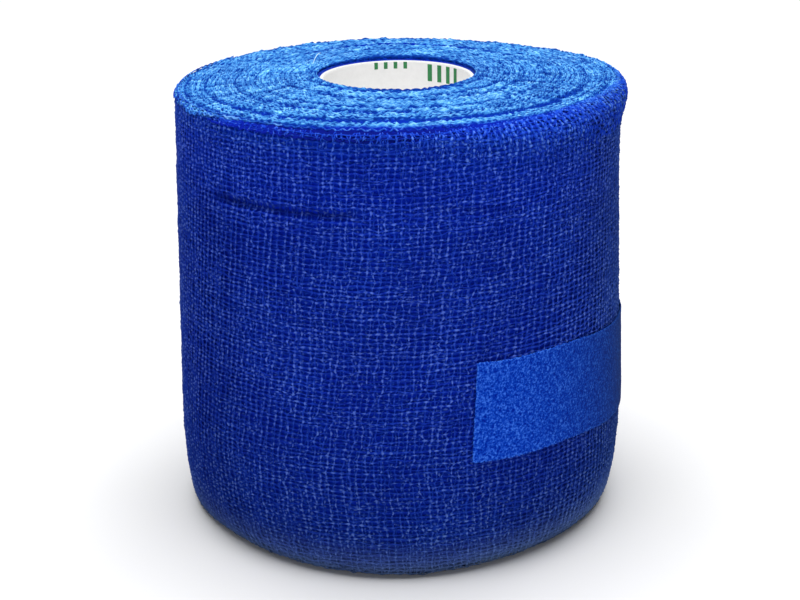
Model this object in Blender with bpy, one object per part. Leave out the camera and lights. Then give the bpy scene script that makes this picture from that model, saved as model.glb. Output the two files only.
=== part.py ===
"""Cohesive gauze bandage wound on a paper core and closed with a short crepe strip, standing on one end."""

import math

import bpy
import numpy as np

# Main sizes, in metres. The roll's axis is vertical. Azimuth 0 looks towards -Y and grows towards +X, in degrees.
BANDAGE_WIDTH = 0.100
ROLL_RADIUS = 0.0515
HOLE_RADIUS = 0.0178
SEGMENTS = 80

# The roll is narrower at its top than at its foot by this share of the radius.
TAPER = 0.059

# The turns near the core stand higher than the outer ones, at both ends: by how much, and how far the slope
# is curved and not straight.
TELESCOPE = 0.0023
END_CURVE = 0.35

# Soft rounding of the foot: how high it reaches, and how far in it goes on the left and on the right.
FOOT_HEIGHT = 0.030
FOOT_INSET_LEFT = 0.0037
FOOT_INSET_RIGHT = 0.0055
FOOT_ANGLES = (0, 13, 27, 43, 64)

# Rounding of the top rim: crisp all round but for a slumped, softer shoulder. Small rounding of the hole's edges.
RIM_RADIUS = 0.0015
SHOULDER_RADIUS = 0.0050
SHOULDER_AZIMUTH = 50
SHOULDER_SPREAD = 75
RIM_ANGLES = (0, 30, 60, 90)
HOLE_EDGE = 0.0007

# Outward roll of the top edge, centred on one azimuth: how far out, how far down it starts, and how much it
# lifts the rim.
FLARE_OUT = 0.0026
FLARE_HEIGHT = 0.013
FLARE_RISE = 0.0005
FLARE_AZIMUTH = 96
FLARE_SPREAD = 66

# The cloth ends here, under the closing strip: from here on the outermost turn is this much proud of the one
# under it, and the radius then falls evenly on the way round.
TURN_THICKNESS = 0.00036
LOOSE_END_AZIMUTH = 108

# Slack creases in the outer turn.
CREASE_COLUMNS = ("start", "end", "start_height", "end_height", "depth")
CREASES = (
    (-46, -4, 0.0835, 0.0842, 0.0007),
    (3, 32, 0.0858, 0.0836, 0.0005),
)
CREASE_FADE = 9
CREASE_HALF_HEIGHT = 0.0021

# Plain heights of the wall's rings, between the foot and the crease and between the crease and the rim.
LOW_WALL_HEIGHTS = (0.030, 0.040, 0.052, 0.063, 0.074)
HIGH_WALL_HEIGHTS = (0.0895, 0.0925)

# Groups of turns on the end faces, from the hole to the rim: the share of the face at which a group ends, how
# far its crest stands above the mean face, and how deep the gap after it is.
BAND_COLUMNS = ("end_share", "crest", "gap")
TOP_BANDS = (
    (0.13, 0.0002, 0.0006),
    (0.27, 0.0009, 0.0005),
    (0.40, 0.0003, 0.0009),
    (0.55, 0.0010, 0.0004),
    (0.68, 0.0004, 0.0009),
    (0.83, 0.0008, 0.0018),
    (0.96, 0.0003, 0.0000),
)
FOOT_BANDS = (
    (0.19, 0.0003, 0.0009),
    (0.38, 0.0001, 0.0010),
    (0.57, 0.0003, 0.0008),
    (0.75, 0.0000, 0.0012),
)
# The outer turns of the foot lie flat on the surface from this share of the face outwards.
FOOT_FLAT_SHARE = 0.81
# The groups wander in and out, and up and down, on the way round.
WANDER_SHARE = 0.012
WANDER_HEIGHT = 0.0003

# Paper core.
CORE_CLEARANCE = 0.0003
CORE_WALL = 0.0010
CORE_LENGTH = 0.100
CORE_FOOT = 0.0011
CORE_SEGMENTS = 64
CORE_EDGE = 0.0002

# Closing strip, stuck round the outer turn over its loose end.
STRIP_WIDTH = 0.0224
STRIP_THICKNESS = 0.0010
STRIP_CLEARANCE = 0.0003
STRIP_START = 17.25
STRIP_END = 136
STRIP_STEPS = 34
STRIP_CENTRE_HEIGHT = 0.0395
STRIP_DROP_PER_DEGREE = 0.0000503
STRIP_CUT_SLANT = 1.5
STRIP_ROWS = 6
# It climbs onto the cloth's end over this many degrees, and is up this many degrees before it.
STRIP_STEP_SPREAD = 14
STRIP_STEP_MARGIN = 5

# Finishes: linear colour and roughness.
FINISH_COLUMNS = ("red", "green", "blue", "roughness")
FINISHES = {
    "bandage_gauze": (0.012, 0.045, 0.420, 0.90),
    "core_paper": (0.790, 0.750, 0.730, 0.80),
    "strip_crepe": (0.012, 0.060, 0.480, 0.85),
}
SMOOTH_ANGLE = math.radians(60)


def named(columns, row):
    return dict(zip(columns, row))


def turn_of(azimuth, start):
    """Share of a full turn from the start azimuth on, from 0 up to 1."""
    return ((azimuth - start) % 360) / 360


def ease(share):
    share = min(max(share, 0.0), 1.0)
    return share * share * (3 - 2 * share)


def bump(offset, spread):
    """Smooth hump, 1 at no offset and 0 from the spread outwards."""
    return ease(1 - abs(offset) / spread)


def azimuth_gap(azimuth, centre):
    return (azimuth - centre + 180) % 360 - 180


def foot_inset(azimuth):
    rightness = 0.5 + 0.5 * math.sin(math.radians(azimuth))
    return FOOT_INSET_LEFT + (FOOT_INSET_RIGHT - FOOT_INSET_LEFT) * rightness


def crease_at(azimuth):
    """Height of the nearest crease and its depth there."""
    signed = azimuth_gap(azimuth, 0)
    height = named(CREASE_COLUMNS, CREASES[0])["start_height"]
    depth = 0.0
    for row in CREASES:
        crease = named(CREASE_COLUMNS, row)
        length = crease["end"] - crease["start"]
        share = ease((signed - crease["start"]) / length)
        if signed >= crease["start"]:
            height = crease["start_height"] + (crease["end_height"] - crease["start_height"]) * share
        inside = min(signed - crease["start"], crease["end"] - signed) / CREASE_FADE
        depth += crease["depth"] * ease(inside)
    fade = ease((180 - abs(signed)) / 90)
    middle = CREASES[0][CREASE_COLUMNS.index("start_height")]
    return middle + (height - middle) * fade, depth


def flare_at(azimuth):
    """How strongly the top edge rolls outwards here, 0 to 1."""
    return bump(azimuth_gap(azimuth, FLARE_AZIMUTH), FLARE_SPREAD)


def wall_radius(azimuth, height):
    """Radius of the outer turn above the foot's rounding, without creases."""
    taper = 1 - TAPER * (height / BANDAGE_WIDTH - 0.5)
    rolled = ease((height - (BANDAGE_WIDTH - FLARE_HEIGHT)) / FLARE_HEIGHT)
    spiral = -TURN_THICKNESS * turn_of(azimuth, LOOSE_END_AZIMUTH)
    return ROLL_RADIUS * taper + FLARE_OUT * flare_at(azimuth) * rolled + spiral


def outer_radius(azimuth, height):
    """Radius of the outer turn at any height, with the foot's rounding and the creases."""
    radius = wall_radius(azimuth, height)
    if height < FOOT_HEIGHT:
        rise = 1 - height / FOOT_HEIGHT
        radius -= foot_inset(azimuth) * (1 - math.sqrt(max(1 - rise * rise, 0.0)))
    crease_height, crease_depth = crease_at(azimuth)
    return radius - crease_depth * bump(height - crease_height, CREASE_HALF_HEIGHT * 1.6)


def rim_radius(azimuth):
    shoulder = bump(azimuth_gap(azimuth, SHOULDER_AZIMUTH), SHOULDER_SPREAD)
    return RIM_RADIUS + (SHOULDER_RADIUS - RIM_RADIUS) * shoulder


def end_rise(share):
    """How far an end face has moved up at a share of the way from the hole outwards."""
    return TELESCOPE * (1 - END_CURVE * ease(share) - (1 - END_CURVE) * share)


def band_points(bands, azimuth, sign):
    """(share, lift) of each crest and gap from the hole outwards. Lift is out of the face along its sign."""
    points = []
    start = 0.0
    for index, row in enumerate(bands):
        band = named(BAND_COLUMNS, row)
        phase = 2.4 * index + sign
        wander = math.sin(math.radians(azimuth) + phase) + 0.6 * math.sin(math.radians(3 * azimuth) + 2 * phase)
        middle = 0.5 * (start + band["end_share"])
        crest = band["crest"] + WANDER_HEIGHT * (wander / 1.6 - 1)
        points.append((middle + WANDER_SHARE * wander, crest))
        if band["gap"] > 0:
            points.append((band["end_share"] + WANDER_SHARE * wander, -band["gap"]))
        start = band["end_share"]
    return points


def top_profile(azimuth):
    """(radius, height) points of the top, from the rim's outer side in to the hole."""
    rounding = rim_radius(azimuth)
    rim_rise = FLARE_RISE * flare_at(azimuth)
    rim_height = BANDAGE_WIDTH + rim_rise - rounding
    inset_radius = outer_radius(azimuth, rim_height) - rounding
    points = []
    for angle in RIM_ANGLES:
        turn = math.radians(angle)
        points.append((inset_radius + rounding * math.cos(turn), rim_height + rounding * math.sin(turn)))
    for share, lift in reversed(band_points(TOP_BANDS, azimuth, 1)):
        radius = HOLE_RADIUS + HOLE_EDGE + (inset_radius - HOLE_RADIUS - HOLE_EDGE) * share
        points.append((radius, BANDAGE_WIDTH + end_rise(share) + rim_rise * share + lift))
    top = BANDAGE_WIDTH + TELESCOPE
    points.append((HOLE_RADIUS + HOLE_EDGE, top))
    points.append((HOLE_RADIUS, top - HOLE_EDGE))
    return points


def foot_profile(azimuth):
    """(radius, height) points of the foot, from the hole out to the start of the wall's rounding."""
    edge_radius = outer_radius(azimuth, 0.0)
    span = edge_radius - HOLE_RADIUS - HOLE_EDGE
    points = [(HOLE_RADIUS, TELESCOPE + HOLE_EDGE), (HOLE_RADIUS + HOLE_EDGE, TELESCOPE)]
    for share, lift in band_points(FOOT_BANDS, azimuth, -1):
        height = max(end_rise(share / FOOT_FLAT_SHARE) - lift, 0.0)
        points.append((HOLE_RADIUS + HOLE_EDGE + span * share, height))
    points.append((HOLE_RADIUS + HOLE_EDGE + span * FOOT_FLAT_SHARE, 0.0))
    return points


def wall_profile(azimuth):
    """(radius, height) points of the wall, from the floor up to the rim."""
    heights = []
    for angle in FOOT_ANGLES:
        heights.append(FOOT_HEIGHT * (1 - math.cos(math.radians(angle))))
    heights.extend(LOW_WALL_HEIGHTS)
    crease_height = crease_at(azimuth)[0]
    for step in (-1, 0, 1):
        heights.append(crease_height + step * CREASE_HALF_HEIGHT)
    heights.extend(HIGH_WALL_HEIGHTS)
    return [(outer_radius(azimuth, height), height) for height in heights]


def roll_profile(azimuth):
    return foot_profile(azimuth) + wall_profile(azimuth) + top_profile(azimuth)


def core_profile(_azimuth):
    outer = HOLE_RADIUS - CORE_CLEARANCE
    inner = outer - CORE_WALL
    top = CORE_FOOT + CORE_LENGTH
    return [
        (inner, CORE_FOOT + CORE_EDGE),
        (inner + CORE_EDGE, CORE_FOOT),
        (outer - CORE_EDGE, CORE_FOOT),
        (outer, CORE_FOOT + CORE_EDGE),
        (outer, top - CORE_EDGE),
        (outer - CORE_EDGE, top),
        (inner + CORE_EDGE, top),
        (inner, top - CORE_EDGE),
    ]


def place(azimuth, radius, height):
    turn = math.radians(azimuth)
    return (radius * math.sin(turn), -radius * math.cos(turn), height)


def ring_solid(profile, azimuths):
    """Closed ring: one profile loop for each azimuth, joined to the next all the way round."""
    points = []
    faces = []
    for azimuth in azimuths:
        points.extend(place(azimuth, radius, height) for radius, height in profile(azimuth))
    loop = len(points) // len(azimuths)
    for step in range(len(azimuths)):
        after = (step + 1) % len(azimuths)
        for index in range(loop):
            following = (index + 1) % loop
            here = (step * loop + index, after * loop + index)
            there = (after * loop + following, step * loop + following)
            faces.append(here + there)
    return points, faces


def strip_point(share_along, share_up, lift):
    """A point of the strip: along it from its cut start, up its width, and out from its sticky side."""
    slant = STRIP_CUT_SLANT * (share_up - 0.5) * (1 - share_along)
    azimuth = STRIP_START + (STRIP_END - STRIP_START) * share_along + slant
    centre = STRIP_CENTRE_HEIGHT - STRIP_DROP_PER_DEGREE * (azimuth - STRIP_START)
    height = centre + STRIP_WIDTH * (share_up - 0.5)
    step_up = 0.0
    if azimuth < LOOSE_END_AZIMUTH:
        near_end = ease(1 - (LOOSE_END_AZIMUTH - STRIP_STEP_MARGIN - azimuth) / STRIP_STEP_SPREAD)
        step_up = TURN_THICKNESS * turn_of(azimuth, LOOSE_END_AZIMUTH) * near_end
    return place(azimuth, outer_radius(azimuth, height) + step_up + STRIP_CLEARANCE + lift, height)


def strip_solid():
    """Closed curved plate: a grid on its sticky side, a grid on its outer side, and four edges between them."""
    points = []
    faces = []
    columns = STRIP_STEPS + 1
    rows = STRIP_ROWS + 1
    for lift in (0.0, STRIP_THICKNESS):
        for column in range(columns):
            for row in range(rows):
                points.append(strip_point(column / STRIP_STEPS, row / STRIP_ROWS, lift))
    outer = columns * rows
    for column in range(STRIP_STEPS):
        for row in range(STRIP_ROWS):
            corner = column * rows + row
            quad = (corner, corner + rows, corner + rows + 1, corner + 1)
            faces.append(tuple(outer + index for index in quad))
            faces.append(tuple(reversed(quad)))
    for column in range(STRIP_STEPS):
        low = column * rows
        high = low + STRIP_ROWS
        faces.append((low, low + rows, outer + low + rows, outer + low))
        faces.append((high + rows, high, outer + high, outer + high + rows))
    for row in range(STRIP_ROWS):
        last = STRIP_STEPS * rows + row
        faces.append((row + 1, row, outer + row, outer + row + 1))
        faces.append((last, last + 1, outer + last + 1, outer + last))
    return points, faces


def finish_of(name):
    values = named(FINISH_COLUMNS, FINISHES[name])
    material = bpy.data.materials.new(name)
    material.use_nodes = True
    shader = material.node_tree.nodes["Principled BSDF"]
    colour = (values["red"], values["green"], values["blue"], 1.0)
    shader.inputs["Base Color"].default_value = colour
    shader.inputs["Roughness"].default_value = values["roughness"]
    material.diffuse_color = colour
    return material


def add_solid(name, points, faces, finish):
    mesh = bpy.data.meshes.new(name)
    mesh.from_pydata(points, [], faces)
    mesh.materials.append(finish_of(finish))
    mesh.validate()
    mesh.shade_smooth()
    mesh.set_sharp_from_angle(angle=SMOOTH_ANGLE)
    solid = bpy.data.objects.new(name, mesh)
    bpy.context.scene.collection.objects.link(solid)
    return solid


def centre_on_origin(solids):
    """Moves all the solids together so that the middle of their footprint is on the vertical axis."""
    points = np.array([vertex.co for solid in solids for vertex in solid.data.vertices])
    middle = 0.5 * (points.min(axis=0) + points.max(axis=0))
    for solid in solids:
        for vertex in solid.data.vertices:
            vertex.co.x -= middle[0]
            vertex.co.y -= middle[1]


def even_azimuths(count):
    return [360 * step / count for step in range(count)]


def clear_scene():
    for old in list(bpy.data.objects):
        bpy.data.objects.remove(old)


def build():
    clear_scene()
    solids = [
        add_solid("bandage", *ring_solid(roll_profile, even_azimuths(SEGMENTS)), "bandage_gauze"),
        add_solid("core", *ring_solid(core_profile, even_azimuths(CORE_SEGMENTS)), "core_paper"),
        add_solid("closing_strip", *strip_solid(), "strip_crepe"),
    ]
    centre_on_origin(solids)


build()
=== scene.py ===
"""Cohesive gauze bandage roll: open gauze threads on the wall, wavy turns on the end faces, a paper tube in
the hole and a crepe closing strip. Sizes are in millimetres unless a name says otherwise."""

import math

import bpy
import numpy as np
from mathutils import Matrix, Vector


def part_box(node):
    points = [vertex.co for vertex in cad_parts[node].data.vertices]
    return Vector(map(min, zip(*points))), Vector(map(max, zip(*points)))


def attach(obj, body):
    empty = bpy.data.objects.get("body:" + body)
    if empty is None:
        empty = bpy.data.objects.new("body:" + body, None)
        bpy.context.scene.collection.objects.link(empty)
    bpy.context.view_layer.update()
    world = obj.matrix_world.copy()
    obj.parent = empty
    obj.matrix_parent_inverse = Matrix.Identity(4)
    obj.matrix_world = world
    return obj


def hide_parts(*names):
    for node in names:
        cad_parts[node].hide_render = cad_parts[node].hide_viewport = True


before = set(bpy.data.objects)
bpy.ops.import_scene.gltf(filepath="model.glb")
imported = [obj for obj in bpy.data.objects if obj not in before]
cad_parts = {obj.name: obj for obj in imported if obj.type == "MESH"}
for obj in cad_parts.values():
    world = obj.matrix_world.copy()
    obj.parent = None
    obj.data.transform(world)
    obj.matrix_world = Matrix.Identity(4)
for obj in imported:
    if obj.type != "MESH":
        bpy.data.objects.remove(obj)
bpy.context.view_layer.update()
scene = bpy.context.scene

MM = 0.001

# The roll. Azimuth 0 looks towards -Y and grows towards +X, in degrees.
WIDTH = 100.0
RADIUS = 51.7
HOLE = 17.8
TAPER = 0.059
TELESCOPE = 2.3
END_CURVE = 0.35
TURN = 0.36
LOOSE_END = 108.0
# Places round it, as azimuth and spread.
SHOULDER = (50.0, 62.0)
FLARE = (96.0, 66.0)
BACK = (193.0, 58.0)
SUNK = (-8.0, 56.0)
LOW_BAND = (10.0, 90.0)
# Where the top face's painted shade in its ticks and grooves stands out most.
CONTRAST = (75.0, 62.0)
# The rim's rounding: elsewhere, and at the shoulder.
RIM_RADIUS = (1.5, 5.0)
FLARE_OUT = 2.3
FLARE_HEIGHT = 11.0
FLARE_TAIL = 28.0
FLARE_TAIL_SHARE = 0.2
FLARE_RISE = 0.5
BACK_RISE = 0.35
# The foot's rounding: its height, how far it goes in on the left and on the right, what the front adds, and
# (amount, azimuth, spread) of corners on both sides and, from 0 to 360, of single ones.
FOOT_HEIGHT = 30.0
FOOT_INSET = (4.2, 6.0)
FOOT_FRONT = 0.4
FOOT_FRONT_FROM = (90.0, 30.0)
FOOT_PAIRS = ((1.9, 42.0, 40.0), (-0.7, 92.0, 32.0))
FOOT_SINGLES = ((0.7, 20.0, 22.0), (0.8, 302.0, 26.0))
# From this share of the way out, the foot's turns are level.
FOOT_FLAT_SHARE = 0.81

# Slack creases: start and end azimuth, start and end height, depth.
CREASES = ((-54.0, -6.0, 83.0, 83.1, 0.82), (3.0, 32.0, 84.6, 82.6, 0.3))
CREASE_FADE = 9.0
CREASE_SPREAD = 1.55
# Painted shade: how dark a crease is painted per millimetre and at most, and how dark the left side is
# painted and from where.
CREASE_SHADE = 0.65
CREASE_DARKEST = 0.7
LEFT_SHADE = 0.18
LEFT_AZIMUTHS = (-36.0, -50.0)
LEFT_HEIGHTS = (96.0, 82.0)

# Grooves between groups of turns on the top face, given at these azimuths. Seen from the front, a groove lies
# farther out by its depth, which the shift and a share of its depth make up for. It strays by the waver.
GROOVE_SHIFT = 1.0
GROOVE_SHIFT_SHARE = 0.75
GROOVE_WAVER = 0.45
# How deep in millimetres a depth of 1 is.
GROOVE_DEPTH = 0.38
GROOVE_AZIMUTHS = (-36, 0, 37, 80, 110, 180, 235, 280)
GROOVE_RADII = (
    (21.2, 21.0, 20.6, 20.0, 20.0, 19.3, 20.0, 20.0),
    (26.3, 26.1, 25.0, 24.6, 25.0, 27.8, 25.6, 25.6),
    (28.4, 28.0, 28.0, 28.2, 28.6, 31.5, 29.4, 29.0),
    (32.4, 32.4, 33.2, 33.4, 33.0, 35.7, 32.4, 32.2),
    (36.0, 35.5, 37.0, 37.2, 37.2, 39.5, 37.0, 36.6),
    (43.0, 40.9, 41.6, 42.3, 42.6, 43.8, 43.2, 43.2),
    (47.6, 46.5, 46.6, 47.0, 47.2, 47.8, 47.6, 47.8),
)
GROOVE_DEPTHS = (
    (0.8, 0.8, 0.7, 0.15, 0.1, 0.2, 0.1, 0.15),
    (0.8, 0.8, 0.8, 0.2, 0.15, 0.45, 0.15, 0.2),
    (0.15, 0.2, 0.8, 0.2, 0.1, 0.15, 0.15, 0.15),
    (0.7, 0.7, 0.7, 0.2, 0.12, 1.5, 0.15, 0.2),
    (1.0, 1.0, 0.2, 0.12, 0.12, 0.1, 0.15, 0.2),
    (1.4, 1.6, 1.3, 0.3, 0.15, 0.3, 0.15, 0.3),
    (0.8, 0.9, 0.6, 0.3, 0.2, 0.5, 0.4, 0.4),
)
GROOVE_HALVES = (
    (1.4, 1.4, 1.5, 1.5, 1.4, 1.2, 1.4, 1.4),
    (1.3, 1.3, 1.3, 1.3, 1.2, 1.8, 1.2, 1.3),
    (1.1, 1.1, 1.2, 1.1, 1.1, 1.1, 1.1, 1.1),
    (1.2, 1.2, 1.3, 1.3, 1.4, 2.0, 1.4, 1.3),
    (1.5, 1.5, 1.3, 1.2, 1.2, 1.2, 1.2, 1.3),
    (1.9, 2.3, 1.9, 1.4, 1.3, 1.3, 1.2, 1.4),
    (1.4, 1.6, 1.4, 1.2, 1.2, 1.2, 1.2, 1.2),
)

# Gauze: threads up the wall (wefts) and round the roll (warps). Of each kind: half width, tone and how both
# vary, sharpness and gleam of the painted highlight dots, and what its tone gains where azure light is
# painted or the wall is bunched.
WEFTS = 194
WARPS = 95
THREADS = {
    "weft": {"half": (0.198, 0.13), "tone": (0.04, 0.03), "dots": (0.5, 1.0), "azure": 0.10, "bunch": 0.0},
    "warp": {"half": (0.188, 0.15), "tone": (0, 0.035), "dots": (0.9, 0.95), "azure": -0.08, "bunch": -0.16},
}
THREAD_RISE = 0.13
THREAD_DROP = 0.07
# Painted shade on each thread's edges, where they drop towards the gaps.
THREAD_EDGE = 0.18
# How a thread's width swells, also at the shoulder down to a distance below the rim.
SWELL = 0.28
SHOULDER_SWELL = 0.45
SHOULDER_DOWN = 14.0
# A thread lies higher or lower by the crimp at a crossing, and lower by the dip between two.
CRIMP = 0.10
DIP = 0.03
# Painted highlights: light dots where a thread lies over and under, what chance adds, and how much of that
# the next one shares.
# Over the sunk turns they are dimmer, for a distance below the rim.
GLEAM = (0.17, 0.07)
GLEAM_CHANCE = 0.95
GLEAM_SHARED = 0.32
GLEAM_SUNK = 0.5
GLEAM_SUNK_DOWN = 7.0
# How far crossings stray sideways and up, and whole threads both ways.
STRAY = (0.22, 0.20, 0.09)
LAYER_SINK = 0.22
LAYER_DEPTH = 0.27
# How far the closed body lies behind the top's turns, the wall's threads and the foot's turns.
BODY_BELOW = 0.85
BODY_INWARD = 0.78
BODY_ABOVE = 0.9
# Painted light: how far down the wall azure and royal blue are painted, and how much: elsewhere, at the
# shoulder.
AZURE_REACH = (3.2, 11.0)
ROYAL_REACH = (9.0, 16.0)
ROYAL_SHARE = (0.30, 0.52)
BODY_ROYAL_REACH = 19.0
# The front's sunk rim: its width, edge and depth; it is also painted in shade.
SUNK_WIDTH = 4.9
SUNK_EDGE = 1.6
SUNK_DEPTH = 0.15
# Painted shade: where the top face turns from azure to darker royal blue towards the rim. Painted light: how
# light the rim's gauze is.
BAND_AZIMUTHS = (-75, -36, -12, 12, 37, 55, 70, 90, 120, 200)
BAND_RADII = (51.5, 46.6, 42.8, 42.6, 43.4, 44.8, 46.8, 49.5, 52.5, 52.5)
BAND_EDGE = 1.8
BAND_DEPTH = 0.15
RIM_AZIMUTHS = (-120, -60, -15, 20, 60, 110, 170)
RIM_LIGHT = (0.85, 0.72, 0.13, 0.20, 0.64, 0.78, 0.85)
# Painted shade on the wall's flanks at each azimuth, with a share of that at the foot; how much greyer and
# lighter the foot is at each height, and more so at the foot on its right.
FLANK_SHADE_AZIMUTHS = (-100, -86, -76, -62, 30, 50, 62, 75, 90, 110, 150)
FLANK_SHADE_SHARES = (0.26, 0.36, 0.12, 0.0, 0.0, 0.10, 0.24, 0.42, 0.50, 0.32, 0.06)
FLANK_SHADE_HEIGHTS = (4.0, 20.0)
FLANK_SHADE_AT_FOOT = 0.4
GREYING_MOST = 0.62
HAZE_HEIGHTS = (0.0, 2.0, 3.5, 5.0, 7.0, 9.5, 13.0)
HAZE_SHARES = (0.60, 0.58, 0.42, 0.30, 0.20, 0.06, 0.0)
FOOT_GREYING = 0.10
FOOT_GREYING_HEIGHTS = (30.0, 0.0)
FOOT_GREYING_AZIMUTHS = (8.0, 48.0)
# Share of the warps below each height: they lie closer together in the upper part.
WARP_HEIGHTS = (0.0, 38.0, 100.0)
WARP_SHARES = (0.0, 0.365, 1.0)
# How far the wefts have drifted sideways at each height.
LEAN_HEIGHTS = (0, 10, 20, 27, 36, 45, 78, 86, 100)
LEAN_SHIFTS = (0.0, -0.5, -1.1, -1.2, -0.2, 0.8, 3.7, 4.2, 4.4)

# Turns on the end faces: distance between samples, length of a loop, and turns between rows of dark ticks.
# The top's turns start off the tube, and stop short of the rim's rounding or reach over a wide one.
TOP_STEP = 0.46
FOOT_STEP = 1.3
LOOP = 1.75
TICK_TURNS = 3.3
TOP_START = 0.12
TOP_SHORT = 0.25
TOP_OVER = 1.3
# The rim's thin thread at these azimuths, the length of its waves, and how far apart its strands are.
LINE_AZIMUTHS = (-128, -60, -36, 0, 22)
LINE_RADII = (50.4, 50.0, 47.6, 45.2, 44.6)
LINE_WAVES = (0.20, 0.22, 0.36, 0.60, 0.55)
LINE_PITCH = 2.3
LINE_APART = 0.95
# Azimuths over which it comes to the front.
LINE_FRONT = (-40.0, 0.0)
# Bunched threads: how many, the share near the shoulder and their spread, and how far down they reach.
DASHES = 1300
DASHES_NEAR = 0.85
DASH_SPREAD = 30.0
DASH_REACH = (1.6, 11.6)

# Closing strip. The kink in its run has an azimuth, a spread and a height.
STRIP_WIDTH = 22.4
STRIP_THICKNESS = 0.24
STRIP_LIFT = 0.07
STRIP_START = 17.25
STRIP_END = 136.0
STRIP_CENTRE = 39.5
STRIP_DROP = 0.0503
STRIP_SLANT = 1.5
STRIP_KINK = (45.0, 24.0, 1.0)
# Azimuths over which it climbs on to the loose end, stands off and lies back, and gets painted shade and less
# so.
STRIP_CLIMB = (LOOSE_END - 19.0, LOOSE_END - 5.0)
STRIP_BULGE = ((40.0, 75.0), (125.0, 105.0))
STRIP_SHADED = ((22.0, 88.0), (90.0, 130.0))

# Camera, from the photograph's perspective, with the roll's axis as its origin.
CAMERA_BACK = 383.2
CAMERA_HEIGHT = 184.0
CAMERA_PITCH = 19.62
CAMERA_ROLL = -0.81
CAMERA_LENS = 77.5
SENSOR = 36.0

core_low, core_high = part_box("core")
AXIS_X = 500 * (core_low.x + core_high.x)
AXIS_Y = 500 * (core_low.y + core_high.y)


# ---- helpers


def ease(x):
    x = np.clip(x, 0.0, 1.0)
    return x * x * (3 - 2 * x)


def step_over(x, limits):
    """Soft step from 0 at the first limit to 1 at the second."""
    return ease((x - limits[0]) / (limits[1] - limits[0]))


def hump(offset, spread):
    return ease(1 - np.abs(offset) / spread)


def pulse(turns):
    """1 at whole numbers, 0 halfway between."""
    return 0.5 + 0.5 * np.cos(math.tau * turns)


def part_way(pair, share):
    """From a pair's first value to its second."""
    return pair[0] + (pair[1] - pair[0]) * share


def around(azimuth, centre=0.0):
    return (azimuth - centre + 180) % 360 - 180


def near(azimuth, place):
    centre, spread = place
    return hump(around(azimuth, centre), spread)


def read_grid(grid, x, y):
    """Smooth value between the four nearest cells. The first axis closes on itself."""
    x0 = np.floor(x).astype(int)
    y0 = np.floor(y).astype(int)
    fx = ease(x - x0)
    fy = ease(y - y0)
    x0 = x0 % len(grid)
    x1 = (x0 + 1) % len(grid)
    low = grid[x0, y0] * (1 - fx) + grid[x1, y0] * fx
    high = grid[x0, y0 + 1] * (1 - fx) + grid[x1, y0 + 1] * fx
    return low * (1 - fy) + high * fy


def soft_field(seed, across, up):
    """Smooth random field from -1 to 1 over (turn share, height share), closed round the roll."""
    grid = np.random.default_rng(seed).uniform(-1, 1, (across, up))

    return lambda u, v: read_grid(grid, u % 1.0 * across, np.clip(v, 0.0, 1.0) * (up - 1.001))


def grain_field(seed, cell):
    """Smooth random field from -1 to 1 over the plan, with cells of one size everywhere."""
    reach = 65
    count = int(2 * reach / cell) + 3
    grid = np.random.default_rng(seed).uniform(-1, 1, (count, count))

    def read(azimuth, radius):
        turn = np.radians(azimuth)
        x, y = reach + radius * np.sin(turn), reach - radius * np.cos(turn)
        return read_grid(grid, x / cell, y / cell)

    return read


def foot_inset(azimuth):
    """How far the foot's rounding goes in."""
    signed = np.abs(around(azimuth))
    inset = part_way(FOOT_INSET, 0.5 + 0.5 * np.sin(np.radians(azimuth)))
    inset = inset + FOOT_FRONT * step_over(signed, FOOT_FRONT_FROM)
    for offset, corners in ((signed, FOOT_PAIRS), (azimuth, FOOT_SINGLES)):
        for amount, centre, spread in corners:
            inset = inset + amount * hump(offset - centre, spread)
    return inset


def rim_round(azimuth):
    return part_way(RIM_RADIUS, near(azimuth, SHOULDER))


def rim_start(azimuth):
    """Height at which the wall ends and the rim's rounding begins."""
    return WIDTH + FLARE_RISE * near(azimuth, FLARE) - rim_round(azimuth)


def crease_depth(azimuth, height):
    signed = around(azimuth)
    depth = np.zeros(np.broadcast(azimuth, height).shape)
    for start, end, start_height, end_height, deep in CREASES:
        line = part_way((start_height, end_height), step_over(signed, (start, end)))
        inside = np.minimum(signed - start, end - signed) / CREASE_FADE
        depth = depth + deep * ease(inside) * hump(height - line, CREASE_SPREAD)
    return depth


def wall(azimuth, height):
    """Radius of the outer turn at a height."""
    taper = 1 - TAPER * (height / WIDTH - 0.5)
    rolled = (1 - FLARE_TAIL_SHARE) * step_over(height, (WIDTH - FLARE_HEIGHT, WIDTH))
    rolled = rolled + FLARE_TAIL_SHARE * step_over(height, (WIDTH - FLARE_TAIL, WIDTH))
    spiral = -TURN * ((azimuth - LOOSE_END) % 360) / 360
    radius = RADIUS * taper + FLARE_OUT * near(azimuth, FLARE) * rolled + spiral
    rise = np.clip(1 - height / FOOT_HEIGHT, 0, 1)
    radius = radius - foot_inset(azimuth) * (1 - np.sqrt(np.clip(1 - rise * rise, 0, 1)))
    return radius - crease_depth(azimuth, height)


def skin_point(azimuth, way):
    """(radius, height) at a way up the wall and over the rim."""
    rounding = rim_round(azimuth)
    start = rim_start(azimuth)
    height = np.minimum(way, start)
    turn = np.clip((way - start) / rounding, 0, math.pi / 2)
    radius = wall(azimuth, height) - rounding * (1 - np.cos(turn))
    return radius, height + rounding * np.sin(turn)


def skin(azimuth, way):
    """(radius, height, outward radial share, outward upward share)."""
    step = 0.08
    radius, height = skin_point(azimuth, way)
    low = skin_point(azimuth, np.maximum(way - step, 0.0))
    high = skin_point(azimuth, way + step)
    along_r = high[0] - low[0]
    along_z = high[1] - low[1]
    length = np.maximum(np.hypot(along_r, along_z), 1e-9)
    return radius, height, along_z / length, -along_r / length


def skin_length(azimuth):
    return rim_start(azimuth) + rim_round(azimuth) * math.pi / 2


def turned_at(azimuth, azimuths, values):
    """A value set at some azimuths, elsewhere between its neighbours round the roll."""
    return np.interp(np.asarray(azimuth) % 360, np.array(azimuths) % 360, values, period=360)


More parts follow.
